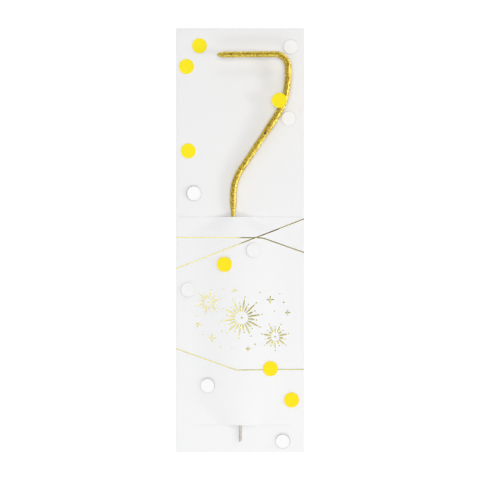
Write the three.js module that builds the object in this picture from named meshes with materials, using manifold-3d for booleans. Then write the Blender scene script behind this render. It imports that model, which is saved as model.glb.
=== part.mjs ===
// Sparkler number candle, a figure 7 bent from wire, on its folded pocket card. Millimetres.
// The card lies on its back: +X runs right across it, +Y up it and +Z out of its front.
// The origin is the centre of the back panel's rear face.

import * as THREE from 'three';
import { mergeVertices } from 'three/addons/utils/BufferGeometryUtils.js';
import Module from 'manifold-3d';

// Card: one sheet, folded at the bottom edge and glued along both sides
const CARD_WIDTH = 55;
const CARD_HEIGHT = 181.3;
const BOARD = 0.4;
const POCKET_HEIGHT = 100.6;
const SIDE_MARGIN = 6;
const SLIT_RISE = 11.9;
const SLIT_CUT = 0.3;
const GLUE_FILM = 0.1;
const GLUE_WIDTH = 4.5;
const GLUE_INSET = 0.7;

// Core wire: its bare stem stands in the pocket and its tail shows below the slit
const WIRE_DIAMETER = 1.2;
const STEM_TAIL = 7.1;
const STEM_UPRIGHT = 11.5;
const STEM_OFFSET = 0.16;
const STEM_SIDESTEP = 3.03;
const STEM_BEND = 60;

// Figure 7, along the wire's centre line from the pocket's mouth upwards
const FOOT_RISE = 15.3;
const DIAGONAL_RUN = 23.14;
const DIAGONAL_RISE = 34.4;
const ARM_RISE = 19;
const BAR_LENGTH = 30;
const BAR_DROOP = 0.3;
const TOP_STANDOFF = 7;
const NECK_BEND = 40;
const LOWER_BEND = 20.8;
const UPPER_BEND = 32.4;
const CORNER_BEND = 5.6;

// Sparkler coating: diameters along the figure
const NECK_DIAMETER = 1.5;
const FOOT_DIAMETER = 2.8;
const DIAGONAL_DIAMETER = 2.74;
const CROOK_DIAMETER = 3.12;
const ARM_DIAMETER = 3;
const BAR_DIAMETER = 2.58;
const NECK_TAPER = 6;
const NECK_IN_POCKET = 1.2;
const CROOK_LEAD = 12;
const TIP_DOME = 3.8;
const TIP_COVER = 2;

// Confetti: round paper punchings
const CONFETTI_DIAMETER = 6.35;
const CONFETTI_THICKNESS = 0.2;

// The disc that lies on the rod: how far up the upper bend, how steeply, and how far off the rod
const PERCH_SHARE = 0.415;
const PERCH_TIP = THREE.MathUtils.degToRad(12);
const PERCH_OVERHANG = 1.5;

// Clearances
const BOND_GAP = 0.05;
const STEM_CLEARANCE = 0.3;
const REST_GAP = 0.3;

// Facets
const ROUND_SIDES = 16;
const DISC_SIDES = 32;
const ARCH_STEPS = 28;
const STRAIGHT_STEP = 6;
const BEND_STEP = THREE.MathUtils.degToRad(7);
const TAPER_STEPS = 5;
const DOME_STEPS = 6;
const RING_GAP = 0.3;
const WELD_DISTANCE = 1e-5;

// Heights through the card, from its rear face
const boardFront = BOARD;
const panelRear = boardFront + GLUE_FILM;
const panelFront = panelRear + BOARD;
const stemZ = panelFront + STEM_CLEARANCE + WIRE_DIAMETER / 2;

// Levels up the card
const halfWidth = CARD_WIDTH / 2;
const cardTop = CARD_HEIGHT / 2;
const foldEdge = -CARD_HEIGHT / 2;
const foldRadius = panelFront / 2;
const foldLine = foldEdge + foldRadius;
const mouth = foldEdge + POCKET_HEIGHT;
const slitBottom = foldEdge + SLIT_RISE;
const slitLip = slitBottom + SLIT_CUT;

// The pocket's front arches over the stem between its two flat margins
const archHalf = halfWidth - SIDE_MARGIN;
const neckX = STEM_OFFSET - STEM_SIDESTEP;
const archReach = Math.max(Math.abs(neckX), Math.abs(STEM_OFFSET)) + NECK_DIAMETER / 2;
const archOverStem = stemZ + NECK_DIAMETER / 2 + STEM_CLEARANCE - panelRear;
const archRise = archOverStem / archShare(archReach);

const finishes = {
  board: { color: 0xf4f4f3, roughness: 0.85, metalness: 0 },
  glue: { color: 0xe9e7df, roughness: 0.6, metalness: 0 },
  steel: { color: 0xbcb4a6, roughness: 0.4, metalness: 1 },
  gold: { color: 0xc9a63a, roughness: 0.45, metalness: 1 },
  yellow: { color: 0xfae93a, roughness: 0.85, metalness: 0 },
  white: { color: 0xfbfafa, roughness: 0.85, metalness: 0 },
};

const wasm = await Module();
wasm.setup();

function named(name, geometry, finish) {
  const mesh = new THREE.Mesh(geometry, new THREE.MeshStandardMaterial(finish));
  mesh.name = name;
  return mesh;
}

// A closed three.js geometry as a solid that can be joined
function solidOf(geometry) {
  const bare = geometry.clone();
  bare.deleteAttribute('normal');
  bare.deleteAttribute('uv');
  const welded = mergeVertices(bare, WELD_DISTANCE);
  const vertProperties = new Float32Array(welded.attributes.position.array);
  const triVerts = new Uint32Array(welded.index.array);
  return new wasm.Manifold(new wasm.Mesh({ numProp: 3, vertProperties, triVerts }));
}

function geometryOf(solid) {
  const mesh = solid.getMesh();
  const geometry = new THREE.BufferGeometry();
  geometry.setAttribute('position', new THREE.BufferAttribute(mesh.vertProperties, 3));
  geometry.setIndex(new THREE.BufferAttribute(mesh.triVerts, 1));
  geometry.computeVertexNormals();
  return geometry;
}

// A box given by its lowest and highest corners
function boxBetween(low, high) {
  const size = high.map((value, axis) => value - low[axis]);
  const geometry = new THREE.BoxGeometry(...size);
  return geometry.translate(...low.map((value, axis) => value + size[axis] / 2));
}

// An outline in the plane of Y and Z, pulled out along X across the whole card
function acrossCard(outline) {
  const settings = { depth: CARD_WIDTH, bevelEnabled: false, steps: 1 };
  const geometry = new THREE.ExtrudeGeometry(outline, settings);
  const turn = new THREE.Matrix4().makeBasis(
    new THREE.Vector3(0, 1, 0),
    new THREE.Vector3(0, 0, 1),
    new THREE.Vector3(1, 0, 0),
  );
  return geometry.applyMatrix4(turn).translate(-halfWidth, 0, 0);
}

// An outline in the plane of X and Z, pulled down along -Y from a level
function downCard(outline, top, length) {
  const settings = { depth: length, bevelEnabled: false, steps: 1 };
  const geometry = new THREE.ExtrudeGeometry(outline, settings);
  return geometry.rotateX(Math.PI / 2).translate(0, top, 0);
}

// Share of the arch's full rise at a distance x from the card's centre line: a raised cosine
function archShare(x) {
  return Math.abs(x) < archHalf ? (1 + Math.cos((Math.PI * x) / archHalf)) / 2 : 0;
}

function pocketFront(x) {
  return panelFront + archRise * archShare(x);
}

function pocketSlope(x) {
  if (Math.abs(x) >= archHalf) {
    return 0;
  }
  return ((-archRise * Math.PI) / (2 * archHalf)) * Math.sin((Math.PI * x) / archHalf);
}

// Back panel: flat board down to the fold line
function backPanel() {
  const geometry = boxBetween([-halfWidth, foldLine, 0], [halfWidth, cardTop, boardFront]);
  return named('back_panel', geometry, finishes.board);
}

// Fold and the flat strip above it, up to the slit: a hook-shaped section
function foldAndStrip() {
  const outline = new THREE.Shape();
  outline.moveTo(slitBottom, panelFront);
  outline.lineTo(foldLine, panelFront);
  outline.absarc(foldLine, foldRadius, foldRadius, Math.PI / 2, Math.PI * 1.5, false);
  outline.lineTo(foldLine, boardFront);
  outline.absarc(foldLine, foldRadius, GLUE_FILM / 2, Math.PI * 1.5, Math.PI / 2, true);
  outline.lineTo(slitBottom, panelRear);
  outline.closePath();
  return acrossCard(outline);
}

// The sheet's section across the pocket: flat at the margins, arched between them
function pocketSection() {
  const across = [-halfWidth];
  for (let step = 0; step <= ARCH_STEPS; step += 1) {
    across.push(-archHalf + (2 * archHalf * step) / ARCH_STEPS);
  }
  across.push(halfWidth);
  const front = across.map((x) => new THREE.Vector2(x, pocketFront(x)));
  const rear = across.map((x) => new THREE.Vector2(x, pocketFront(x) - BOARD));
  return new THREE.Shape([...rear, ...front.reverse()]);
}

// Front panel: the strip, the arched pocket, and the margins that join them past the slit's ends
function pocketPanel() {
  const arch = downCard(pocketSection(), mouth, mouth - slitLip);
  let sheet = solidOf(foldAndStrip()).add(solidOf(arch));
  for (const side of [-1, 1]) {
    const inner = side * archHalf;
    const outer = side * halfWidth;
    const low = [Math.min(inner, outer), slitBottom - BOARD, panelRear];
    const high = [Math.max(inner, outer), slitLip + BOARD, panelFront];
    sheet = sheet.add(solidOf(boxBetween(low, high)));
  }
  return named('pocket_panel', geometryOf(sheet), finishes.board);
}

// Glue line under one of the pocket's margins
function glueLine(name, side) {
  const outer = side * (halfWidth - GLUE_INSET);
  const inner = outer - side * GLUE_WIDTH;
  const low = [Math.min(inner, outer), foldLine + GLUE_INSET, boardFront];
  const high = [Math.max(inner, outer), mouth - GLUE_INSET, panelRear];
  return named(name, boxBetween(low, high), finishes.glue);
}

// A bend of the wire: an arc of a circle from one point to another about a centre
class WireBend extends THREE.Curve {
  constructor(centre, from, to) {
    super();
    this.centre = centre;
    this.from = from.clone().sub(centre);
    this.to = to.clone().sub(centre);
    this.angle = this.from.angleTo(this.to);
  }

  getPoint(t, target = new THREE.Vector3()) {
    const early = Math.sin((1 - t) * this.angle) / Math.sin(this.angle);
    const late = Math.sin(t * this.angle) / Math.sin(this.angle);
    target.copy(this.centre);
    return target.addScaledVector(this.from, early).addScaledVector(this.to, late);
  }
}

// The arc that rounds one corner of the wire's centre line to a bend radius
function bendAt(before, corner, after, radius) {
  const back = before.clone().sub(corner).normalize();
  const ahead = after.clone().sub(corner).normalize();
  const half = back.angleTo(ahead) / 2;
  const reach = radius / Math.tan(half);
  const towards = back.clone().add(ahead).normalize();
  const centre = corner.clone().addScaledVector(towards, radius / Math.sin(half));
  const from = corner.clone().addScaledVector(back, reach);
  const to = corner.clone().addScaledVector(ahead, reach);
  return new WireBend(centre, from, to);
}

// Centre line of the whole wire, straight lengths joined by bends, and where each bend lies along it
function centreLine(corners) {
  const path = new THREE.CurvePath();
  const spans = {};
  let start = corners[0].point;
  for (let i = 1; i < corners.length - 1; i += 1) {
    const { name, point, radius } = corners[i];
    const bend = bendAt(corners[i - 1].point, point, corners[i + 1].point, radius);
    path.add(new THREE.LineCurve3(start, bend.getPoint(0)));
    const from = path.getLength();
    path.add(bend);
    spans[name] = [from, path.getLength()];
    start = bend.getPoint(1);
  }
  path.add(new THREE.LineCurve3(start, corners.at(-1).point));
  return { path, spans };
}

// The figure leans out of the card from the pocket's mouth up to its top bar
function cornerAt(name, x, y, radius) {
  const top = mouth + FOOT_RISE + DIAGONAL_RISE + ARM_RISE;
  const lean = (TOP_STANDOFF - stemZ) / (top - mouth);
  const z = stemZ + Math.max(0, y - mouth) * lean;
  return { name, point: new THREE.Vector3(x, y, z), radius };
}

function wireCorners() {
  const tailEnd = slitBottom - STEM_TAIL;
  const lowerY = mouth + FOOT_RISE;
  const upperY = lowerY + DIAGONAL_RISE;
  const topY = upperY + ARM_RISE;
  const armX = neckX + DIAGONAL_RUN;
  return [
    cornerAt('tail', STEM_OFFSET, tailEnd, 0),
    cornerAt('stem', STEM_OFFSET, tailEnd + STEM_UPRIGHT, STEM_BEND),
    cornerAt('neck', neckX, mouth, NECK_BEND),
    cornerAt('lower', neckX, lowerY, LOWER_BEND),
    cornerAt('upper', armX, upperY, UPPER_BEND),
    cornerAt('corner', armX, topY, CORNER_BEND),
    cornerAt('tip', armX - BAR_LENGTH, topY - BAR_DROOP, 0),
  ];
}

const { path: wirePath, spans: bendSpans } = centreLine(wireCorners());
const pathLength = wirePath.getLength();
const mouthAlong = (bendSpans.neck[0] + bendSpans.neck[1]) / 2;
const coatingStart = mouthAlong - NECK_IN_POCKET;
const domeStart = pathLength - TIP_DOME;
const wireEnd = pathLength - TIP_COVER;
const boreEnd = wireEnd + STEM_CLEARANCE;

// Eases from one value to another between two places along the centre line
function ease(along, [from, to], before, after) {
  return before + (after - before) * THREE.MathUtils.smoothstep(along, from, to);
}

// Radius of the coating: each length of the figure has its own, and the bends blend them.
// The lacquer has run thicker round the crook, the upper bend and the diagonal just below it.
function coatingRadius(along) {
  const crookLead = [bendSpans.upper[0] - CROOK_LEAD, bendSpans.upper[0]];
  let diameter = ease(along, [mouthAlong, mouthAlong + NECK_TAPER], NECK_DIAMETER, FOOT_DIAMETER);
  diameter += ease(along, bendSpans.lower, 0, DIAGONAL_DIAMETER - FOOT_DIAMETER);
  diameter += ease(along, crookLead, 0, CROOK_DIAMETER - DIAGONAL_DIAMETER);
  diameter += ease(along, bendSpans.upper, 0, ARM_DIAMETER - CROOK_DIAMETER);
  diameter += ease(along, bendSpans.corner, 0, BAR_DIAMETER - ARM_DIAMETER);
  return diameter / 2;
}

// Places along the centre line where the wire and the coating have a ring of points
function ringPlaces() {
  const places = [0, coatingStart, domeStart];
  let start = 0;
  for (const curve of wirePath.curves) {
    const length = curve.getLength();
    const steps = Math.ceil(curve.angle ? curve.angle / BEND_STEP : length / STRAIGHT_STEP);
    for (let step = 1; step <= steps; step += 1) {
      places.push(start + (length * step) / steps);
    }
    start += length;
  }
  for (let step = 0; step <= TAPER_STEPS; step += 1) {
    places.push(mouthAlong + (NECK_TAPER * step) / TAPER_STEPS);
  }
  places.sort((a, b) => a - b);
  return places.filter((place, i) => i === 0 || place - places[i - 1] > RING_GAP);
}

const rings = ringPlaces();

function ringsBetween(from, to) {
  const inside = rings.filter((place) => place > from + BOND_GAP && place < to - BOND_GAP);
  return [from, ...inside, to];
}

// Directions at a place along the centre line: ahead, to the right of it, and out of the card
function wireFrame(along) {
  const t = THREE.MathUtils.clamp(along / pathLength, 0, 1);
  const point = wirePath.getPoint(t);
  const ahead = wirePath.getTangent(t);
  const right = ahead.clone().cross(new THREE.Vector3(0, 0, 1)).normalize();
  const out = right.clone().cross(ahead);
  return { point, right, out };
}

// Bends a body turned about the Y axis so that its axis follows the centre line
function bendAlongWire(geometry) {
  const position = geometry.attributes.position;
  for (let i = 0; i < position.count; i += 1) {
    const { point, right, out } = wireFrame(position.getY(i));
    point.addScaledVector(right, position.getX(i));
    point.addScaledVector(out, position.getZ(i));
    position.setXYZ(i, point.x, point.y, point.z);
  }
  geometry.computeVertexNormals();
  return geometry;
}

function turned(profile) {
  const points = profile.map(([radius, along]) => new THREE.Vector2(radius, along));
  return new THREE.LatheGeometry(points, ROUND_SIDES);
}

// Core wire: bare stem and tail, then hidden in the coating to just short of the tip
function coreWire() {
  const radius = WIRE_DIAMETER / 2;
  const side = ringsBetween(0, wireEnd).map((along) => [radius, along]);
  const geometry = turned([[0, 0], ...side, [0, wireEnd]]);
  return named('core_wire', bendAlongWire(geometry), finishes.steel);
}

// Sparkler coating: a blind bore for the wire, a drawn-in neck and a domed tip
function sparklerCoating() {
  const boreRadius = WIRE_DIAMETER / 2 + BOND_GAP;
  const bore = ringsBetween(coatingStart, boreEnd).map((along) => [boreRadius, along]);
  const skin = ringsBetween(coatingStart, domeStart).map((along) => [coatingRadius(along), along]);
  const dome = [];
  for (let step = 1; step < DOME_STEPS; step += 1) {
    const turn = (Math.PI / 2) * (step / DOME_STEPS);
    dome.push([(BAR_DIAMETER / 2) * Math.cos(turn), domeStart + TIP_DOME * Math.sin(turn)]);
  }
  const profile = [[0, boreEnd], ...bore.reverse(), ...skin, ...dome, [0, pathLength]];
  const geometry = bendAlongWire(turned(profile));
  return named('sparkler_coating', geometry, finishes.gold);
}

// One paper disc, centred on a point with its flat side along a normal
function confettiDisc(name, finish, centre, normal) {
  const radius = CONFETTI_DIAMETER / 2;
  const geometry = new THREE.CylinderGeometry(radius, radius, CONFETTI_THICKNESS, DISC_SIDES);
  const disc = named(name, geometry, finish);
  disc.position.copy(centre);
  disc.quaternion.setFromUnitVectors(new THREE.Vector3(0, 1, 0), normal);
  return disc;
}

// Scattered places: across from the centre line to the edge, and up each zone of the card
const zones = {
  upper: [mouth, cardTop],
  pocket: [slitLip, mouth],
  strip: [foldEdge, slitBottom],
};

const scatter = [
  { name: 'confetti_yellow_1', zone: 'upper', across: -0.629, up: 0.905 },
  { name: 'confetti_yellow_2', zone: 'upper', across: -0.831, up: 0.795 },
  { name: 'confetti_yellow_3', zone: 'upper', across: -0.803, up: 0.349 },
  { name: 'confetti_yellow_4', zone: 'pocket', across: -0.238, up: 0.771 },
  { name: 'confetti_yellow_5', zone: 'pocket', across: 0.468, up: 0.269 },
  { name: 'confetti_yellow_6', zone: 'pocket', across: 0.8, up: 0.117 },
  { name: 'confetti_white_1', zone: 'upper', across: 0.787, up: 0.899 },
  { name: 'confetti_white_2', zone: 'upper', across: 0.755, up: 0.52 },
  { name: 'confetti_white_3', zone: 'upper', across: -0.713, up: 0.124 },
  { name: 'confetti_white_4', zone: 'pocket', across: 0.208, up: 0.839 },
  { name: 'confetti_white_5', zone: 'pocket', across: -0.804, up: 0.648 },
  { name: 'confetti_white_6', zone: 'pocket', across: -0.497, up: 0.187 },
  { name: 'confetti_white_7', zone: 'strip', across: 0.662, up: 0.413 },
];

// A disc that lies on the card: flat on the board, or tilted to the pocket's arch just clear of it
function scatteredDisc({ name, zone, across, up }) {
  const [low, high] = zones[zone];
  const x = across * halfWidth;
  const y = low + up * (high - low);
  const finish = name.includes('yellow') ? finishes.yellow : finishes.white;
  const onArch = zone === 'pocket';
  const surface = { upper: boardFront, pocket: pocketFront(x), strip: panelFront }[zone];
  const normal = new THREE.Vector3(onArch ? -pocketSlope(x) : 0, 0, 1).normalize();
  const lift = CONFETTI_THICKNESS / 2 + (onArch ? REST_GAP : 0);
  const centre = new THREE.Vector3(x, y, surface).addScaledVector(normal, lift);
  return confettiDisc(name, finish, centre, normal);
}

// The disc that lies on the rod, tipped towards the inside of the figure, on the upper bend
function perchedDisc() {
  const [from, to] = bendSpans.upper;
  const along = from + (to - from) * PERCH_SHARE;
  const { point, right, out } = wireFrame(along);
  const normal = out.clone().multiplyScalar(Math.cos(PERCH_TIP));
  normal.addScaledVector(right, -Math.sin(PERCH_TIP));
  const inward = right.clone().multiplyScalar(-Math.cos(PERCH_TIP));
  inward.addScaledVector(out, -Math.sin(PERCH_TIP));
  point.addScaledVector(normal, coatingRadius(along) + REST_GAP + CONFETTI_THICKNESS / 2);
  point.addScaledVector(inward, PERCH_OVERHANG);
  return confettiDisc('confetti_yellow_7', finishes.yellow, point, normal);
}

const card = new THREE.Group();
card.add(backPanel(), pocketPanel(), glueLine('glue_line_left', -1), glueLine('glue_line_right', 1));

const candle = new THREE.Group();
candle.add(coreWire(), sparklerCoating(), perchedDisc());

const confetti = new THREE.Group();
confetti.add(...scatter.map(scatteredDisc));

const numberCandle = new THREE.Group();
numberCandle.add(card, candle, confetti);

export default numberCandle;
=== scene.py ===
"""Sparkler number candle in its folded pocket card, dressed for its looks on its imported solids.

The card lies on its back: +X runs right across it, +Y up it and +Z out of its front, in metres.
"""

import math

import bpy
import numpy as np
from bpy.props import FloatProperty, FloatVectorProperty, IntProperty, PointerProperty
from bpy.types import Operator, Panel, PropertyGroup
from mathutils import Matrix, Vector


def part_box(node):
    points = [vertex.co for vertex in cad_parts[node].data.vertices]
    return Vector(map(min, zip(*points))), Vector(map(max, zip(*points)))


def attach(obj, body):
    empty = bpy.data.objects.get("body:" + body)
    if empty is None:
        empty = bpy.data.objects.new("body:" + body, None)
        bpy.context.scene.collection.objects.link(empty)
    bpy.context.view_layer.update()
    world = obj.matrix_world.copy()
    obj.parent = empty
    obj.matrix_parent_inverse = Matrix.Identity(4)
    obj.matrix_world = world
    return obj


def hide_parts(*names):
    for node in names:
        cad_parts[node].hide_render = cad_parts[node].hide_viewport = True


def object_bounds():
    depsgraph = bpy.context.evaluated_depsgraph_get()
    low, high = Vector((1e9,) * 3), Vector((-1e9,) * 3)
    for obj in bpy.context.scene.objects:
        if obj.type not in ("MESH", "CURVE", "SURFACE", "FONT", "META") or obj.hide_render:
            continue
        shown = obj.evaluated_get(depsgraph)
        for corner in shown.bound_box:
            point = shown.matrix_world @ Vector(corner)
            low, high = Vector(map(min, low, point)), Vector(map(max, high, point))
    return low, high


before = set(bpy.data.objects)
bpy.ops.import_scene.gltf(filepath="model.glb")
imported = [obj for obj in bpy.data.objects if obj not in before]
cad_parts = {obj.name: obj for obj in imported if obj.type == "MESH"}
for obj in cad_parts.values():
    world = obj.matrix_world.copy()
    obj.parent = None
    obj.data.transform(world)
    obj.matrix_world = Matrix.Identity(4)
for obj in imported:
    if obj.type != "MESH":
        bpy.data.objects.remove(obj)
solid_low, solid_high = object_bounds()

bl_info = {
    "name": "Number Candle",
    "version": (1, 0, 0),
    "blender": (4, 5, 0),
    "location": "3D View > Sidebar > Number Candle",
    "description": "Folded card, sparkler figure, foil and loose confetti of a number candle",
    "category": "Object",
}

MM = 0.001
CARD = "card"
CANDLE = "candle"
STAMPED_FOIL = "stamped_gold_foil"
PAPER_FIBRES = "paper_fibres"
FIBRE_TURNS = (35, -50, 80)
PAPER_STRETCH = 7.0
ROUGHNESS_SPREAD = 0.08
SHARP_EDGE = math.radians(50)
FLOOR_REACH = 2.5
FLOOR_POINTS = 9
FLOOR_DROP = 0.02 * MM
COLUMN_WIDTH = 220
ROW_HEIGHT = 260
CONFETTI_NODES = sorted(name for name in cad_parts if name.startswith("confetti_"))


def length(note, millimetres):
    """A length that a user may change, stated in millimetres and kept in metres."""
    return FloatProperty(description=note, default=millimetres * MM, unit="LENGTH", precision=5)


def tint(note, *colour):
    """A colour that a user may change, as linear red, green and blue."""
    return FloatVectorProperty(description=note, default=colour, min=0, max=1, size=3, subtype="COLOR")


def share(note, value):
    """A plain factor that a user may change."""
    return FloatProperty(description=note, default=value, min=0, subtype="FACTOR", soft_max=1)


def named_by_key(group):
    """Names each property of a group after its key, as Side margin for side_margin."""
    for key, made in group.__annotations__.items():
        made.keywords["name"] = key.replace("_", " ").capitalize()
    return group


@named_by_key
class NUMBERCANDLE_PG_card(PropertyGroup):
    """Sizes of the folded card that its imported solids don't give by their corners."""

    side_margin: length("Flat width glued down along each side of the pocket", 6)
    slit_rise: length("Height of the slit's lower edge above the fold", 11.9)
    slit_cut: length("Opening of the slit along the card", 0.03)
    edge_rounding: length("Width over which the cut edges are rounded off", 0.18)
    settle_height: length("Height above the slit over which the arch settles", 12)
    lip_rise: share("Share of the arch's rise that is left at the slit", 0.81)
    lip_width: share("Share of the arch's width that is left at the slit", 0.5)
    mouth_height: length("Height below the mouth over which the arch closes in", 8.2)
    mouth_rise: share("Share of the arch's rise that is left at the mouth", 0.87)
    mouth_width: share("Share of the arch's width that is left at the mouth", 0.45)
    mouth_shift: length("How far the arch's top moves to the right at the mouth", -2.4)


@named_by_key
class NUMBERCANDLE_PG_wire(PropertyGroup):
    """The wire's centre line: where it starts, how it is bent and how far it leans out of the card."""

    diameter: length("Diameter of the bare wire", 1.2)
    tail: length("Bare wire that shows below the slit", 7.1)
    stem_upright: length("Length of the stem before it slants", 11.5)
    stem_offset: length("Distance of the tail to the right of the card's middle", 0.16)
    stem_sidestep: length("How far the slanted stem moves to the left", 3.03)
    stem_bend: length("Radius of the bend between the upright and the slanted stem", 60)
    foot_rise: length("Rise from the pocket's mouth to the lower bend", 15.3)
    diagonal_run: length("How far the diagonal goes to the right", 23.14)
    diagonal_rise: length("How far the diagonal goes up", 34.4)
    arm_rise: length("Rise from the upper bend to the top bar", 19)
    bar_length: length("Length of the top bar from the corner to its tip", 30)
    bar_droop: length("How far the bar's tip hangs below the corner", 0.3)
    stem_height: length("Height of the stem's centre above the card's back", 1.8)
    top_height: length("Height of the top bar's centre above the card's back", 7)
    neck_bend: length("Bend radius at the pocket's mouth", 40)
    lower_bend: length("Bend radius between the foot and the diagonal", 20.8)
    upper_bend: length("Bend radius between the diagonal and the arm", 32.4)
    corner_bend: length("Bend radius between the arm and the bar", 5.6)
    cut_slant: length("How much of the wire's end the slanted cut takes off", 0.35)


@named_by_key
class NUMBERCANDLE_PG_coating(PropertyGroup):
    """Diameters of the sparkler coating along the figure and the size of its lumps."""

    neck: length("Diameter where the coating enters the pocket", 1.5)
    foot: length("Diameter of the foot", 2.8)
    diagonal: length("Diameter of the diagonal", 2.74)
    crook: length("Diameter where the lacquer ran thicker, at the upper bend", 3.12)
    arm: length("Diameter of the arm", 3)
    bar: length("Diameter of the top bar", 2.58)
    crook_lead: length("Length of the diagonal that thickens towards the crook", 12)
    neck_taper: length("Length over which the neck grows to the foot", 6)
    in_pocket: length("Coating that reaches down into the pocket", 1.2)
    tip_dome: length("Length of the rounded tip", 3.8)
    tip_cover: length("Coating past the end of the wire", 2)
    bond_gap: length("Gap between the wire and the bore of the coating", 0.05)
    grain_size: length("Width of the fine grains of the coating", 0.28)
    grain_height: length("Spread of the fine grains' height", 0.025)
    lump_size: length("Width of the drips and lumps", 0.9)
    lump_height: length("Spread of the lumps' height", 0.012)
    wave_size: length("Width of the slow waves from dipping", 5)
    wave_height: length("Spread of the slow waves' height", 0.022)


@named_by_key
class NUMBERCANDLE_PG_foil(PropertyGroup):
    """Sizes of the foil lines and of the foil ornament."""

    film: length("Height of the foil above the board", 0.02)
    overlap: length("Height of the foil where one line crosses another", 0.028)
    line_width: length("Width of the foil lines", 0.5)
    corner_reach: length("How far from a corner a foil line starts to turn", 1.4)
    ray_width: length("Width of a starburst's rays at their middle", 0.8)
    edge_inset: length("How far the foil lines stop short of the card's edge", 0.12)


@named_by_key
class NUMBERCANDLE_PG_confetti(PropertyGroup):
    """How the punched paper discs are shaped."""

    dish: length("How much a disc's rim stands above its middle", 0.07)
    curl: length("How much a disc's two sides curl up", 0.09)
    rim_rounding: length("Width over which the punched rim is rounded off", 0.04)
    sides: IntProperty(description="Points round a disc's rim", default=64, min=24, max=96)


@named_by_key
class NUMBERCANDLE_PG_finish(PropertyGroup):
    """Colours of the card, the foil, the wire, the coating and the confetti."""

    board: tint("White board of the card", 0.885, 0.885, 0.888)
    # Partly painted highlight: the cut edges are made brighter than the faces for the light they catch, as
    # well as for their whiter core fibres
    board_core: tint("Brighter fibres at the board's cut edges", 0.99, 0.99, 0.985)
    glue: tint("Dried glue line", 0.82, 0.81, 0.76)
    steel: tint("Bare drawn steel wire, dull with oxide", 0.63, 0.6, 0.56)
    steel_brown: tint("Heat and rust stains on the wire", 0.5, 0.41, 0.29)
    gold: tint("Raised grains of the coating", 0.865, 0.72, 0.03)
    # Painted shade: the dark brown put in the hollows between the grains, where they shade each other
    gold_deep: tint("Hollows between the grains", 0.43, 0.245, 0.004)
    speck: tint("Burnt specks in the coating", 0.02, 0.014, 0.012)
    foil: tint("Pale gold foil", 0.98, 0.92, 0.43)
    foil_worn: tint("Places where the foil is thin", 0.95, 0.885, 0.4)
    yellow: tint("Yellow confetti", 1.0, 0.83, 0.018)
    yellow_fibre: tint("Paler fibres in the yellow confetti", 1.0, 0.85, 0.028)
    yellow_deep: tint("The warmest of the yellow confetti", 1.0, 0.74, 0.016)
    white: tint("White confetti", 0.96, 0.96, 0.962)
    white_fibre: tint("Greyer fibres in the white confetti", 0.935, 0.935, 0.937)
    # Painted shade: this grey along a disc's rim stands in for the thin shadow under its lifted edge, and it
    # also makes some white discs darker all over
    bruise: tint("Edge of a disc that the punch has bruised", 0.36, 0.34, 0.31)


@named_by_key
class NUMBERCANDLE_PG_studio(PropertyGroup):
    """Camera, lamps and walls of the studio."""

    camera_height: length("Height of the camera above the card's back", 600.65)
    camera_side: length("Camera's distance to the right of the card's middle", -0.013)
    camera_up: length("Camera's distance up the card from its middle", 0.085)
    lens: FloatProperty(description="Focal length on a 36 mm sensor", default=105.44, unit="CAMERA", min=1)
    fill: share("Even light from all round", 0.41)
    ceiling: share("Brightness of the studio's ceiling as metal mirrors it", 1.1)
    ceiling_foot: share("The same, past the card's lower end", 0.68)
    walls: share("Brightness of the studio's walls as metal mirrors them", 1.2)
    window: share("Brightness of the right-hand window as metal mirrors it", 1.75)
    shade: tint("Dark wood of the ceiling's dark part and of the left wall", 0.07, 0.038, 0.014)
    floor_glow: share("Light added to the floor where it is only looked at", 0.3)


GROUPS = {
    "card": NUMBERCANDLE_PG_card,
    "wire": NUMBERCANDLE_PG_wire,
    "coating": NUMBERCANDLE_PG_coating,
    "foil": NUMBERCANDLE_PG_foil,
    "confetti": NUMBERCANDLE_PG_confetti,
    "finish": NUMBERCANDLE_PG_finish,
    "studio": NUMBERCANDLE_PG_studio,
}


@named_by_key
class NUMBERCANDLE_PG_all(PropertyGroup):
    """Everything that a user may change."""

    __annotations__ = {key: PointerProperty(type=group) for key, group in GROUPS.items()}


def unit(vector):
    return vector / np.linalg.norm(vector, axis=-1, keepdims=True)


def smoothstep(value, start, end):
    """Rises from 0 at start to 1 at end as 3 t^2 - 2 t^3."""
    t = np.clip((value - start) / (end - start), 0, 1)
    return t * t * (3 - 2 * t)


def smooth_noise(shape, steps, size, seed):
    """Evenly sized lumps over a grid: seeded random numbers blurred by a Gaussian of the given size.

    Each frequency f of the random numbers is multiplied by exp(-(pi size f)^2 / 2), and the result is
    scaled to a spread of one. The pattern wraps round in both directions of the grid.
    """
    random = np.random.default_rng(seed).standard_normal(shape)
    down = np.fft.fftfreq(shape[0], steps[0])[:, None]
    across = np.fft.fftfreq(shape[1], steps[1])[None, :]
    blur = np.exp(-((math.pi * size) ** 2) * (down**2 + across**2) / 2)
    field = np.fft.ifft2(np.fft.fft2(random) * blur).real
    return field / field.std()


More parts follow.
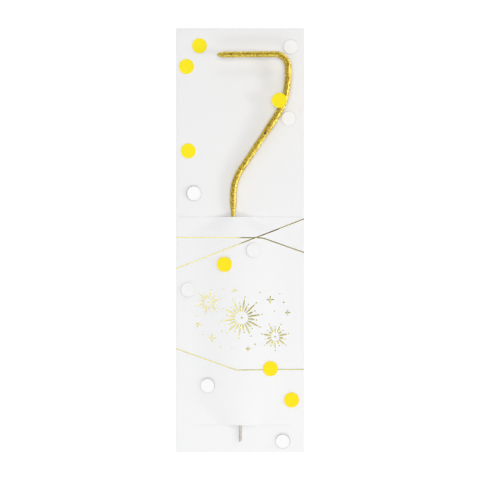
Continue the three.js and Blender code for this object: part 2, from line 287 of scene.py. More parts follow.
class Card:
    """Levels and surfaces of the folded card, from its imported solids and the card's sizes."""

    def __init__(self, sizes):
        back_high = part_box("back_panel")[1]
        pocket_low, pocket_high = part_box("pocket_panel")
        self.board = back_high.z
        self.half_width = back_high.x
        self.top = back_high.y
        self.mouth = pocket_high.y
        self.fold_edge = pocket_low.y
        self.panel_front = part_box("glue_line_left")[1].z + self.board
        self.fold_radius = self.panel_front / 2
        self.fold_line = self.fold_edge + self.fold_radius
        self.arch_half = self.half_width - sizes.side_margin
        self.arch_rise = pocket_high.z - self.panel_front
        self.slit_bottom = self.fold_edge + sizes.slit_rise
        self.slit_lip = self.slit_bottom + sizes.slit_cut
        self.settled = self.slit_lip + sizes.settle_height
        self.closing = self.mouth - sizes.mouth_height
        self.lip = sizes.lip_rise, sizes.lip_width
        self.gape = sizes.mouth_rise, sizes.mouth_width
        self.mouth_shift = sizes.mouth_shift

    def arch(self, x, y):
        """Rise of the pocket over its flat margins: half of 1 + cos(pi away / half width) of the full rise.

        The fold holds the sheet down, so towards the slit the arch gets lower and narrower. It does so
        towards the mouth too, where its top moves over the wire. Away is the distance from the top.
        """
        held = 1 - smoothstep(y, self.slit_lip, self.settled)
        open_end = smoothstep(y, self.closing, self.mouth)
        rise = self.arch_rise * (1 - (1 - self.lip[0]) * held - (1 - self.gape[0]) * open_end)
        half = self.arch_half * (1 - (1 - self.lip[1]) * held - (1 - self.gape[1]) * open_end)
        away = x - self.mouth_shift * open_end
        return np.where(np.abs(away) < half, rise * (1 + np.cos(math.pi * away / half)) / 2, 0)

    def pocket_front(self, x, y):
        return self.panel_front + self.arch(x, y)


class Route:
    """Centre line of the wire, by its length from the tail's end: straight runs joined by round bends."""

    def __init__(self, corners, radii):
        self.runs = []
        self.bends = []
        start = corners[0]
        travelled = 0.0
        for before, corner, after, radius in zip(corners, corners[1:], corners[2:], radii):
            back = unit(before - corner)
            ahead = unit(after - corner)
            half = math.acos(float(back @ ahead)) / 2
            bend_start = corner + back * radius / math.tan(half)
            centre = corner + unit(back + ahead) * radius / math.sin(half)
            self.runs.append((travelled, start, -back, 0.0, None))
            travelled += float(np.linalg.norm(bend_start - start))
            self.runs.append((travelled, bend_start, -back, radius, centre))
            bent = travelled + radius * (math.pi - 2 * half)
            self.bends.append((travelled, bent))
            travelled = bent
            start = corner + ahead * radius / math.tan(half)
        last = corners[-1] - start
        self.runs.append((travelled, start, unit(last), 0.0, None))
        self.total = travelled + float(np.linalg.norm(last))

    def at(self, along):
        """Points and directions along the line.

        At the length t past its beginning, a run is at start + direction t, and a bend of radius r is at
        centre + arm cos(t / r) + direction r sin(t / r).
        """
        points = np.empty((len(along), 3))
        ahead = np.empty((len(along), 3))
        for begin, start, direction, radius, centre in self.runs:
            here = along >= begin if begin > 0 else np.full(len(along), True)
            t = (along[here] - begin)[:, None]
            if centre is None:
                points[here] = start + direction * t
                ahead[here] = direction
            else:
                arm = start - centre
                cosine = np.cos(t / radius)
                sine = np.sin(t / radius)
                points[here] = centre + arm * cosine + direction * radius * sine
                ahead[here] = direction * cosine - arm / radius * sine
        return points, ahead

    def rings(self, along, radius, sides):
        """Rings round the line: centre + radius (cos turn right + sin turn out), right being level."""
        points, ahead = self.at(along)
        right = unit(np.cross(ahead, [0.0, 0.0, 1.0]))
        out = np.cross(right, ahead)
        turn = np.arange(sides) * 2 * math.pi / sides
        reach = np.broadcast_to(np.reshape(radius, (len(along), -1, 1)), (len(along), sides, 1))
        spoke = np.cos(turn)[None, :, None] * right[:, None] + np.sin(turn)[None, :, None] * out[:, None]
        return points[:, None] + reach * spoke


def wire_route(card, wire):
    """The figure's corners in order, from the tail's end to the bar's tip. It leans out above the mouth."""
    tail = card.slit_bottom - wire.tail
    neck_x = wire.stem_offset - wire.stem_sidestep
    lower = card.mouth + wire.foot_rise
    upper = lower + wire.diagonal_rise
    top = upper + wire.arm_rise
    arm_x = neck_x + wire.diagonal_run
    plan = np.array([
        [wire.stem_offset, tail],
        [wire.stem_offset, tail + wire.stem_upright],
        [neck_x, card.mouth],
        [neck_x, lower],
        [arm_x, upper],
        [arm_x, top],
        [arm_x - wire.bar_length, top - wire.bar_droop],
    ])
    lean = (wire.top_height - wire.stem_height) / (top - card.mouth)
    height = wire.stem_height + np.maximum(0, plan[:, 1] - card.mouth) * lean
    radii = [wire.stem_bend, wire.neck_bend, wire.lower_bend, wire.upper_bend, wire.corner_bend]
    return Route(np.column_stack([plan, height]), radii)


def grid_mesh(name, points, keep=None):
    """Mesh of a grid of points, rows by columns, with the quads where keep is true."""
    rows, columns, _ = points.shape
    index = np.arange(rows * columns).reshape(rows, columns)
    quads = np.stack([index[:-1, :-1], index[:-1, 1:], index[1:, 1:], index[1:, :-1]], axis=-1)
    quads = quads.reshape(-1, 4) if keep is None else quads[keep]
    used, faces = np.unique(quads, return_inverse=True)
    mesh = bpy.data.meshes.new(name)
    mesh.from_pydata(points.reshape(-1, 3)[used].tolist(), [], faces.reshape(-1, 4).tolist())
    return mesh


def tube_mesh(name, tubes):
    """Mesh of closed tubes from points given as tubes, rings along each, points round each ring.

    Point j of ring i is joined to point j + 1 and to ring i + 1, and one flat face closes each end.
    Rings run clockwise seen along the tube, which turns the faces outward.
    """
    count, along, around, _ = tubes.shape
    index = np.arange(count * along * around).reshape(count, along, around)
    here = index[:, :-1]
    there = index[:, 1:]
    quads = np.stack([here, there, np.roll(there, -1, axis=2), np.roll(here, -1, axis=2)], axis=-1)
    faces = quads.reshape(-1, 4).tolist() + index[:, 0].tolist() + index[:, -1, ::-1].tolist()
    mesh = bpy.data.meshes.new(name)
    mesh.from_pydata(tubes.reshape(-1, 3).tolist(), [], faces)
    return mesh


def point_values(mesh, name, values):
    """Keeps one number for each point of a mesh, for its material to read."""
    attribute = mesh.attributes.new(name, "FLOAT", "POINT")
    attribute.data.foreach_set("value", np.asarray(values, np.float32).ravel())


def put_in_scene(name, data):
    """A new object that holds a mesh, a lamp or a camera."""
    made = bpy.data.objects.new(name, data)
    bpy.context.scene.collection.objects.link(made)
    return made


def add_piece(mesh, body, slot, *materials):
    """Puts a finished mesh in the scene as a smooth piece that rides on a body."""
    mesh.validate()
    mesh.shade_smooth()
    mesh.set_sharp_from_angle(angle=SHARP_EDGE)
    for material in materials:
        mesh.materials.append(material)
    piece = put_in_scene(mesh.name, mesh)
    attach(piece, body)
    return piece


# Points of the folded sheet: up each stretch of it, and across its arch and each margin
FOLD_ROWS = 15
BACK_ROWS = 46
STRIP_ROWS = 8
SETTLING_ROWS = 17
MIDDLE_ROWS = 34
MOUTH_ROWS = 21
ARCH_COLUMNS = 73
MARGIN_COLUMNS = 4


def sheet_rows(card):
    """Middle line of the board from its top edge down, round the fold and up to the mouth, as y and z.

    The fold is y = line - r sin t and z = radius - r cos t for t from 0 to pi.
    """
    inner = card.fold_radius - card.board / 2
    turn = np.linspace(0, math.pi, FOLD_ROWS)
    fold = np.column_stack([card.fold_line - inner * np.sin(turn), card.fold_radius - inner * np.cos(turn)])
    back_y = np.linspace(card.top, card.fold_line, BACK_ROWS)[:-1]
    back = np.column_stack([back_y, np.full(len(back_y), card.board / 2)])
    panel = card.panel_front - card.board / 2
    strip_y = np.linspace(card.fold_line, card.slit_bottom, STRIP_ROWS)[1:]
    settling_y = np.linspace(card.slit_lip, card.settled, SETTLING_ROWS)
    middle_y = np.linspace(card.settled, card.closing, MIDDLE_ROWS)[1:]
    mouth_y = np.linspace(card.closing, card.mouth, MOUTH_ROWS)[1:]
    front_y = np.concatenate([strip_y, settling_y, middle_y, mouth_y])
    front = np.column_stack([front_y, np.full(len(front_y), panel)])
    return np.vstack([back, fold, front]), len(back) + len(fold) + len(strip_y)


def folded_sheet(card):
    """The whole card as one sheet: point (row, x) lies at (x, row y, row z + arch(x, y) above the slit)."""
    rows, first_arched = sheet_rows(card)
    margin = np.linspace(card.arch_half, card.half_width, MARGIN_COLUMNS)
    arch = np.linspace(-card.arch_half, card.arch_half, ARCH_COLUMNS)
    across = np.concatenate([-margin[:0:-1], arch, margin[1:]])
    points = np.empty((len(rows), len(across), 3))
    points[..., 0] = across
    points[..., 1] = rows[:, 0, None]
    points[..., 2] = rows[:, 1, None]
    points[first_arched:, :, 2] += card.arch(across, rows[first_arched:, 0, None])
    middles = (across[1:] + across[:-1]) / 2
    keep = np.full((len(rows) - 1, len(across) - 1), True)
    keep[first_arched - 1] = np.abs(middles) > card.arch_half
    return grid_mesh("folded_card", points, keep)


# The foil's section: shares of its width and of its height, from its sunk edges over its flat top
FOIL_ACROSS = np.array([-0.5, -0.5, -0.48, -0.42, 0.0, 0.42, 0.48, 0.5, 0.5])
FOIL_UP = np.array([-1.0, 0.4, 0.88, 1.0, 1.0, 1.0, 0.88, 0.4, -1.0])


def foil_tubes(card, film, middles, ahead, widths):
    """Foil laid along middle lines on the pocket: a flat-topped section that follows the arch.

    A point is middle + across width side, at the pocket's front + up film, with side at right angles
    to the line on the card.
    """
    side = np.stack([ahead[..., 1], -ahead[..., 0]], axis=-1)
    plan = middles[..., None, :] + side[..., None, :] * (widths[..., None] * FOIL_ACROSS)[..., None]
    x = np.clip(plan[..., 0], -card.half_width, card.half_width)
    height = card.pocket_front(x, plan[..., 1]) + film * FOIL_UP
    return np.stack([x, plan[..., 1], height], axis=-1)


LINE_STEP = 0.5 * MM
WINDOW_POINTS = 21


def rounded_line(corners, reach):
    """A line through corners, each turned off as a parabola: the mean of the line over reach each way."""
    lengths = np.concatenate([[0], np.cumsum(np.linalg.norm(np.diff(corners, axis=0), axis=1))])
    places = np.linspace(0, lengths[-1], int(lengths[-1] / LINE_STEP) + 1)
    window = np.linspace(-1, 1, WINDOW_POINTS)
    room = np.minimum(reach, np.minimum(places, lengths[-1] - places))
    around = places[:, None] + window * room[:, None]
    line = np.stack([np.interp(around, lengths, corners[:, k]).mean(axis=1) for k in range(2)], axis=1)
    return line, unit(np.gradient(line, axis=0))


def foil_lines(card, foil):
    """The three foil lines across the pocket, by their corners in millimetres."""
    edge = (card.half_width - foil.edge_inset) / MM
    routes = {
        "upper": ([[-edge, 1.15], [9.38, 1.02], [edge, -5.33]], foil.film),
        "crossing": ([[-edge, -12.16], [edge, 9.09]], foil.overlap),
        "lower": ([[-edge, -46.27], [-1.72, -55.14], [edge, -55.14]], foil.film),
    }
    tubes = {}
    for name, (corners, film) in routes.items():
        middle, ahead = rounded_line(np.array(corners) * MM, foil.corner_reach)
        widths = np.full(len(middle), foil.line_width)
        tubes[name] = foil_tubes(card, film, middle[None], ahead[None], widths[None])
    return tubes


# The ornament's marks: how far past its ray a dot lies, in its own radii; where a star's arms start;
# their width as a share of a ray's; where in its half turn a mark starts; and the rings along it
DOT_SPACING = 2.2
STAR_HEART = 0.12 * MM
STAR_WIDTH = 0.8
MARK_END = 0.16
MARK_RINGS = 8


def starburst(centre, rays, inner, long, short, width, dot):
    """Rays of a starburst by turns long and short, with a dot past each ray, as starts, ends and widths."""
    turn = (np.arange(rays) + 0.5) * 2 * math.pi / rays
    spoke = np.column_stack([np.cos(turn), np.sin(turn)])
    outer = np.where(np.arange(rays) % 2 == 0, long, short)[:, None]
    dots = centre + spoke * (outer + DOT_SPACING * dot)
    starts = np.vstack([centre + spoke * inner, dots - [dot, 0]])
    ends = np.vstack([centre + spoke * outer, dots + [dot, 0]])
    widths = np.concatenate([np.full(rays, width), np.full(rays, 2 * dot)])
    return starts, ends, widths


def ornament_marks(width):
    """Marks of the foil ornament in metres: three starbursts, small crossed stars and loose dots."""
    bursts = [
        ((0.7, -33.0), 20, 2.6, 8.1, 5.6, 0.34),
        ((-13.6, -26.4), 12, 1.5, 4.8, 3.3, 0.28),
        ((15.0, -41.2), 14, 1.7, 5.2, 3.6, 0.3),
    ]
    parts = []
    for centre, rays, inner, long, short, dot in bursts:
        scaled = np.array([inner, long, short]) * MM
        parts.append(starburst(np.array(centre) * MM, rays, *scaled, width, dot * MM))
    stars = np.array([
        [12.9, -25.4, 1.7],
        [-11.9, -41.6, 1.9],
        [20.3, -30.9, 1.2],
        [-17.9, -36.0, 1.2],
        [-2.6, -21.4, 1.1],
        [3.4, -46.2, 1.0],
    ]) * MM
    arm_widths = np.full(len(stars), STAR_WIDTH * width)
    for arm in np.array([[1, 0], [0, 1], [-1, 0], [0, -1]]):
        starts = stars[:, :2] + STAR_HEART * arm
        ends = stars[:, :2] + stars[:, 2:] * arm
        parts.append((starts, ends, arm_widths))
    dots = np.array([
        [0.7, -33.0, 0.55],
        [-13.6, -26.4, 0.42],
        [15.0, -41.2, 0.45],
        [8.6, -22.3, 0.3],
        [16.9, -22.9, 0.25],
        [18.6, -26.6, 0.4],
        [14.6, -30.3, 0.28],
        [-7.9, -38.6, 0.36],
        [-15.9, -40.3, 0.26],
        [-8.3, -45.4, 0.3],
        [-18.6, -32.2, 0.3],
        [6.4, -44.3, 0.38],
        [-3.4, -45.6, 0.24],
        [-7.0, -20.6, 0.24],
    ]) * MM
    reach = dots[:, 2:] * np.array([1, 0])
    parts.append((dots[:, :2] - reach, dots[:, :2] + reach, 2 * dots[:, 2]))
    return [np.concatenate(column) for column in zip(*parts)]


def ornament_tubes(card, foil):
    """Each mark as an ellipse: middle = start + (end - start)(1 - cos t) / 2 and width = width sin t."""
    starts, ends, widths = ornament_marks(foil.ray_width)
    turn = np.linspace(MARK_END, math.pi - MARK_END, MARK_RINGS)
    span = (ends - starts)[:, None]
    middles = starts[:, None] + span * ((1 - np.cos(turn)) / 2)[:, None]
    ahead = np.broadcast_to(unit(span), middles.shape)
    return foil_tubes(card, foil.film, middles, ahead, widths[:, None] * np.sin(turn))


WIRE_STEP = 0.6 * MM
WIRE_SIDES = 32
CUT_EDGE = 0.04 * MM


def wire_tube(card, wire, coating):
    """The wire from its slanted cut to its end inside the coating, with a narrow rounded edge at the cut."""
    route = wire_route(card, wire)
    end = route.total - coating.tip_cover
    along = np.concatenate([[0, CUT_EDGE], np.arange(WIRE_STEP, end - CUT_EDGE, WIRE_STEP), [end]])
    radius = np.full(len(along), wire.diameter / 2)
    radius[0] -= CUT_EDGE
    rings = route.rings(along, radius, WIRE_SIDES)
    slant = np.clip(0.5 + (rings[:2, :, 0] - wire.stem_offset) / wire.diameter, 0, 1)
    rings[:2, :, 1] += wire.cut_slant * slant
    return rings


def coating_radius(route, coating, mouth, along):
    """Radius of the coating: each length of the figure has its own, and the bends blend them."""
    _, _, lower, upper, corner = route.bends
    neck_end = mouth + coating.neck_taper
    crook_start = upper[0] - coating.crook_lead
    diameter = coating.neck + (coating.foot - coating.neck) * smoothstep(along, mouth, neck_end)
    diameter += (coating.diagonal - coating.foot) * smoothstep(along, *lower)
    diameter += (coating.crook - coating.diagonal) * smoothstep(along, crook_start, upper[0])
    diameter += (coating.arm - coating.crook) * smoothstep(along, *upper)
    diameter += (coating.bar - coating.arm) * smoothstep(along, *corner)
    return diameter / 2


SKIN_STEP = 0.15 * MM
SKIN_SIDES = 60
DOME_RINGS = 41
BORE_STEP = 0.8 * MM
NECK_FADE = 3 * MM
BORE_GAPS = 4


def coating_tube(card, wire, coating):
    """The coating as a turned skin bent along the wire: bore, neck, lumpy skin and domed tip.

    The radius is the smooth radius + waves + lumps + grains, which fade out at the neck and the tip.
    Gives the rings, and how low each point lies between its neighbours.
    """
    route = wire_route(card, wire)
    mouth = sum(route.bends[1]) / 2
    start = mouth - coating.in_pocket
    dome_start = route.total - coating.tip_dome
    skin = np.arange(start, dome_start, SKIN_STEP)
    turn = np.linspace(0, math.pi / 2, DOME_RINGS + 1)[:-1]
    dome = dome_start + coating.tip_dome * np.sin(turn)
    along = np.concatenate([skin, dome])
    taper = np.concatenate([np.ones(len(skin)), np.cos(turn)])
    smooth = coating_radius(route, coating, mouth, along) * taper
    grid = (len(along), SKIN_SIDES)
    steps = (SKIN_STEP, math.pi * coating.bar / SKIN_SIDES)
    grains = coating.grain_height * smooth_noise(grid, steps, coating.grain_size, 3)
    lumps = coating.lump_height * smooth_noise(grid, steps, coating.lump_size, 5)
    waves = coating.wave_height * smooth_noise(grid, steps, coating.wave_size, 8)
    fade = (smoothstep(along, start, start + NECK_FADE) * taper)[:, None]
    outer = route.rings(along, smooth[:, None] + (grains + lumps + waves) * fade, SKIN_SIDES)
    outer[..., 2] = np.minimum(outer[..., 2], solid_high.z)
    bore_radius = wire.diameter / 2 + coating.bond_gap
    bore_end = route.total - coating.tip_cover + BORE_GAPS * coating.bond_gap
    bore_along = np.arange(bore_end, start, -BORE_STEP)
    bore = route.rings(np.append(bore_along, start), np.full(len(bore_along) + 1, bore_radius), SKIN_SIDES)
    low = np.concatenate([np.zeros((len(bore), SKIN_SIDES)), -grains * fade])
    return np.concatenate([bore, outer]), low


SPECK_EDGE = 1.9


def dark_specks(points):
    """How burnt each point is: 1 inside a speck's radius, and 0 from SPECK_EDGE times that radius on."""
    specks = np.array([
        [10.55, 45.2, 5.87, 0.34],
        [20.96, 65.5, 7.1, 0.26],
        [-3.8, 78.5, 8.2, 0.2],
        [2.2, 32.6, 4.85, 0.18],
        [-1.9, 22.4, 3.75, 0.22],
        [-3.2, 15.2, 3.5, 0.16],
        [6.8, 78.0, 8.15, 0.16],
        [19.2, 61.9, 7.2, 0.18],
    ]) * MM
    burnt = np.zeros(len(points))
    for x, y, height, radius in specks:
        away = np.linalg.norm(points - [x, y, height], axis=1)
        burnt = np.maximum(burnt, 1 - smoothstep(away, radius, SPECK_EDGE * radius))
    return burnt


# How each disc lies: the lift of its raised side in millimetres, that side's direction in degrees, how
# strong the painted shadow line along its rim is, and how much darker, or deeper in colour, it is all over
DISC_LIES = {
    "confetti_white_1": (0.16, 212, 0.5, 0.02),
    "confetti_white_2": (0.12, 160, 0.55, 0.05),
    "confetti_white_3": (0.75, 140, 1.0, 0.01),
    "confetti_white_4": (0.1, 195, 0.45, 0.12),
    "confetti_white_5": (0.12, 225, 0.48, 0.11),
    "confetti_white_6": (0.45, 56, 0.85, 0.0),
    "confetti_white_7": (0.7, 75, 0.95, 0.05),
    "confetti_yellow_1": (0.14, 310, 0.0, 0.0),
    "confetti_yellow_2": (0.1, 20, 0.0, 0.0),
    "confetti_yellow_3": (0.12, 250, 0.0, 0.0),
    "confetti_yellow_4": (0.3, 120, 0.0, 0.3),
    "confetti_yellow_5": (0.1, 270, 0.0, 0.66),
    "confetti_yellow_6": (0.16, 200, 0.0, 0.66),
    "confetti_yellow_7": (0.1, 180, 0.0, 0.0),
}


def disc_place(node):
    """Middle, flat side's direction, radius and half thickness of a disc's solid, from its points."""
    points = np.array([vertex.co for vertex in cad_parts[node].data.vertices])
    middle = (points.min(axis=0) + points.max(axis=0)) / 2
    normal = np.linalg.svd(points - middle, full_matrices=False)[2][2]
    normal *= np.sign(normal[2])
    height = (points - middle) @ normal
    radius = np.sqrt(np.maximum(((points - middle) ** 2).sum(axis=1) - height**2, 0)).max()
    return middle, normal, radius, height.max()


# A disc's faces have rings at shares of its radius, and the rim between them steps in by a share of its
# rounding. Past another share of the radius the rim takes a painted shadow line: all round by the least
# share, and more towards the raised side, where the shadow under a lifted edge falls, over a range of
# shares of the radius in that side's direction.
FACE_SHARES = np.linspace(0.04, 0.9, 7)
RIM_STEP = 0.3
RIM_SHARE = 0.95
LEAST_RIM_SHADE = 0.6
RAISED_RANGE = (-0.2, 0.75)


def disc_tube(node, sizes):
    """A punched disc, turned about its middle: top from the middle out, rounded rim, underside back in.

    At share s of the radius and turn t its height is dish s^2 + curl (s cos(t - a))^2 + lift (1 + s
    cos(t - a)) / 2, over half the paper's thickness up or down. Gives each point's share of the third colour
    too: painted shade along the rim, strongest on the lifted side, and all over on a disc that is darker or
    deeper in colour.
    """
    middle, normal, radius, half = disc_place(node)
    lift, towards, bruised, dull = DISC_LIES[node]
    towards = math.radians(towards)
    rounding = sizes.rim_rounding
    faces = np.concatenate([FACE_SHARES * radius, [radius - rounding]])
    step = RIM_STEP * rounding
    rim = np.array([radius - step, radius, radius, radius - step])
    reach = np.concatenate([faces, rim, faces[::-1]])
    edge = np.array([half - step, half - rounding, rounding - half, step - half])
    rise = np.concatenate([np.full(len(faces), half), edge, np.full(len(faces), -half)])
    turn = -np.arange(sizes.sides) * 2 * math.pi / sizes.sides
    part = (reach / radius)[:, None]
    leaning = part * np.cos(turn - towards)
    height = rise[:, None] + sizes.dish * part**2 + sizes.curl * leaning**2 + lift * MM * (1 + leaning) / 2
    right = unit(np.array([1.0, 0.0, 0.0]) - normal[0] * normal)
    up = np.cross(normal, right)
    spoke = np.cos(turn)[:, None] * right + np.sin(turn)[:, None] * up
    rings = middle + reach[:, None, None] * spoke + height[..., None] * normal
    # Painted shade: a shadow line along the rim, strongest on the raised side
    raised = smoothstep(leaning, *RAISED_RANGE)
    rim_shade = bruised * (LEAST_RIM_SHADE + (1 - LEAST_RIM_SHADE) * raised) * (part > RIM_SHARE)
    return rings, np.maximum(rim_shade, dull)


def feed(tree, socket, value):
    """Links another node's output to an input, or sets the input to a plain number or colour."""
    if isinstance(value, bpy.types.NodeSocket):
        tree.links.new(value, socket)
    elif socket.type == "RGBA":
        socket.default_value = (*value, 1)
    else:
        socket.default_value = value


def node(tree, kind, **values):
    """A shader node, with its settings by name and its inputs by label."""
    made = tree.nodes.new("ShaderNode" + kind)
    for key, value in values.items():
        if hasattr(made, key):
            setattr(made, key, value)
        else:
            feed(tree, made.inputs[key.replace("_", " ")], value)
    return made


def in_order(tree, made, *values):
    """A node's first output, once its inputs are fed in their order."""
    for socket, value in zip(made.inputs, values):
        feed(tree, socket, value)
    return made.outputs[0]


def combine(tree, operation, first, *others):
    """Numbers put together one after another by one operation of the Math node."""
    for value in others:
        first = in_order(tree, node(tree, "Math", operation=operation), first, value)
    return first


def colour_mix(tree, mask, low, high):
    """A colour from low to high by a mask."""
    mix = node(tree, "Mix", data_type="RGBA")
    for socket, value in ((0, mask), (6, low), (7, high)):
        feed(tree, mix.inputs[socket], value)
    return mix.outputs[2]


def map_range(tree, value, low, high, to_low=0.0, to_high=1.0, curve="LINEAR"):
    """A number stretched from one range to another and held inside it."""
    ends = {"From_Min": low, "From_Max": high, "To_Min": to_low, "To_Max": to_high}
    return node(tree, "MapRange", interpolation_type=curve, Value=value, **ends).outputs[0]


def bump(tree, height, strength, distance):
    """A shader's normal over relief of a height."""
    return node(tree, "Bump", Height=height, Strength=strength, Distance=distance).outputs[0]


def noise(tree, place, size, detail, roughness=0.5):
    """Noise whose lumps are about the given size in metres."""
    made = node(tree, "TexNoise", Vector=place, Scale=1 / size, Detail=detail, Roughness=roughness)
    return made.outputs["Fac"]


def own_place(tree):
    """The piece's own coordinates."""
    return node(tree, "TexCoord").outputs["Object"]


def point_mask(tree, name):
    """A value that the piece's mesh keeps for each of its points."""
    return node(tree, "Attribute", attribute_name=name).outputs["Fac"]


def arrange(tree):
    """Puts every node one column to the left of the nodes that it feeds."""
    column = {made.name: 0 for made in tree.nodes}
    for _ in tree.nodes:
        for link in tree.links:
            column[link.from_node.name] = max(column[link.from_node.name], column[link.to_node.name] + 1)
    filled = [0] * len(column)
    for made in tree.nodes:
        place = column[made.name]
        made.location = (-COLUMN_WIDTH * place, -ROW_HEIGHT * filled[place])
        filled[place] += 1


def empty_tree(made):
    """A new material's or world's own node tree, without its first nodes."""
    made.use_nodes = True
    made.node_tree.nodes.clear()
    return made.node_tree


def new_material(name):
    made = bpy.data.materials.new(name)
    return made, empty_tree(made)


def shaded(made, **values):
    """The material with its Principled shader. A value that is even all over is set on its own socket."""
    tree = made.node_tree
    node(tree, "OutputMaterial", Surface=node(tree, "BsdfPrincipled", **values).outputs["BSDF"])
    arrange(tree)
    return made


def toned(colour, factor):
    """A colour made darker, or lighter up to white."""
    return [min(1, value * factor) for value in colour]


FIBRE_SOCKETS = (
    ("Coordinates", "INPUT", "Vector"),
    ("Fibre Width", "INPUT", "Float"),
    ("Fibre Stretch", "INPUT", "Float"),
    ("Tone", "OUTPUT", "Float"),
    ("Height", "OUTPUT", "Float"),
)


def fibre_group():
    """Paper fibres: three stretched noises that cross, as a tone from 0 to 1 and a height."""
    if PAPER_FIBRES in bpy.data.node_groups:
        return bpy.data.node_groups[PAPER_FIBRES]
    group = bpy.data.node_groups.new(PAPER_FIBRES, "ShaderNodeTree")
    for label, way, kind in FIBRE_SOCKETS:
        group.interface.new_socket(name=label, in_out=way, socket_type="NodeSocket" + kind)
    given = group.nodes.new("NodeGroupInput").outputs
    per_width = combine(group, "DIVIDE", 1.0, given["Fibre Width"])
    small = node(group, "VectorMath", operation="SCALE", Vector=given["Coordinates"], Scale=per_width)
    squeeze = combine(group, "DIVIDE", 1.0, given["Fibre Stretch"])
    layers = []
    for degrees in FIBRE_TURNS:
        turn = math.radians(degrees)
        turned = node(group, "VectorRotate", rotation_type="Z_AXIS", Vector=small.outputs[0], Angle=turn)
        parts = node(group, "SeparateXYZ", Vector=turned.outputs[0]).outputs
        along = combine(group, "MULTIPLY", parts["X"], squeeze)
        joined = node(group, "CombineXYZ", X=along, Y=parts["Y"], Z=parts["Z"])
        layers.append(noise(group, joined.outputs[0], 1, 2, 0.55))
    height = combine(group, "MAXIMUM", *layers)
    output = group.nodes.new("NodeGroupOutput")
    feed(group, output.inputs["Tone"], map_range(group, height, 0.42, 0.74))
    feed(group, output.inputs["Height"], height)
    arrange(group)
    return group


def fibres(tree, width, stretch):
    """The paper fibre group placed in a material, on the piece's own coordinates: its tone and height."""
    made = node(tree, "Group", node_tree=fibre_group(), Fibre_Width=width, Fibre_Stretch=stretch)
    feed(tree, made.inputs["Coordinates"], own_place(tree))
    return made.outputs["Tone"], made.outputs["Height"]


def paper(name, colour, fibre_colour, width, roughness, relief, bruise=None):
    """Matte paper or board: fibres tint it slightly, vary its roughness and raise its surface.

    Where a third colour is given, the piece's own values for each point bring it in: for punched discs a
    painted shadow line along the rim, and a darker or deeper tone all over some of them.
    """
    made, tree = new_material(name)
    tone, height = fibres(tree, width, PAPER_STRETCH)
    shown = colour_mix(tree, tone, colour, fibre_colour)
    if bruise is not None:
        # Painted shade: the shadow line along white discs' rims, and a darker or deeper tone over some discs
        shown = colour_mix(tree, point_mask(tree, "bruised"), shown, bruise)
    return shaded(
        made,
        Base_Color=shown,
        Roughness=map_range(tree, tone, 0, 1, roughness - ROUGHNESS_SPREAD, roughness + ROUGHNESS_SPREAD),
        Specular_IOR_Level=0.06,
        Normal=bump(tree, height, relief, width / 4),
    )


def board_materials(finish):
    """White board for the card's faces, and its rougher core for the cut edges, brighter partly for its
    whiter fibres and partly as a painted highlight of the light that the cut edges catch.
    """
    face = toned(finish.board, 0.975)
    core = toned(finish.board_core, 0.97)
    return (
        paper("folded_board", finish.board, face, width=0.25 * MM, roughness=0.62, relief=0.25),
        paper("cut_board_core", finish.board_core, core, width=0.08 * MM, roughness=0.8, relief=0.6),
    )


def glue_material(finish):
    """Dried glue: a cloudy film with small bubbles."""
    made, tree = new_material("dried_glue_film")
    place = own_place(tree)
    cloud = noise(tree, place, 1.5 * MM, 3)
    return shaded(
        made,
        Base_Color=colour_mix(tree, cloud, finish.glue, toned(finish.glue, 1.08)),
        Roughness=map_range(tree, cloud, 0.3, 0.7, 0.35, 0.6),
        Specular_IOR_Level=0.5,
        Normal=bump(tree, noise(tree, place, 0.2 * MM, 1), 0.4, 0.02 * MM),
    )


def foil_material(finish):
    """Hot-stamped foil: mirror-like metal that follows the board's tooth and is thin in places."""
    if STAMPED_FOIL in bpy.data.materials:
        return bpy.data.materials[STAMPED_FOIL]
    made, tree = new_material(STAMPED_FOIL)
    tooth = fibres(tree, 0.3 * MM, 3.0)[1]
    patches = noise(tree, own_place(tree), 1.1 * MM, 3, 0.6)
    thin = map_range(tree, patches, 0.52, 0.7)
    height = in_order(tree, node(tree, "Math", operation="MULTIPLY_ADD"), tooth, 0.25, patches)
    return shaded(
        made,
        Base_Color=colour_mix(tree, thin, finish.foil, finish.foil_worn),
        Metallic=1.0,
        Roughness=map_range(tree, patches, 0.35, 0.7, 0.08, 0.14),
        Normal=bump(tree, height, 0.04, 0.08 * MM),
    )


def steel_material(finish):
    """Drawn steel wire: lengthwise draw lines, and brown stains from the baked coating and from rust."""
    made, tree = new_material("drawn_steel")
    place = own_place(tree)
    drawn = node(tree, "Mapping", Vector=place, Scale=(1, 0.04, 1)).outputs[0]
    stains = noise(tree, place, 1.3 * MM, 4, 0.65)
    spots = noise(tree, place, 0.3 * MM, 2)
    steel = colour_mix(tree, spots, toned(finish.steel, 0.9), finish.steel)
    stained = map_range(tree, stains, 0.5, 0.66, 0, 0.85)
    return shaded(
        made,
        Base_Color=colour_mix(tree, stained, steel, finish.steel_brown),
        Metallic=map_range(tree, stains, 0.35, 0.65, 0.5, 0.15),
        Roughness=map_range(tree, stains, 0.4, 0.65, 0.48, 0.66),
        Normal=bump(tree, noise(tree, drawn, 0.07 * MM, 2), 0.35, 0.02 * MM),
    )


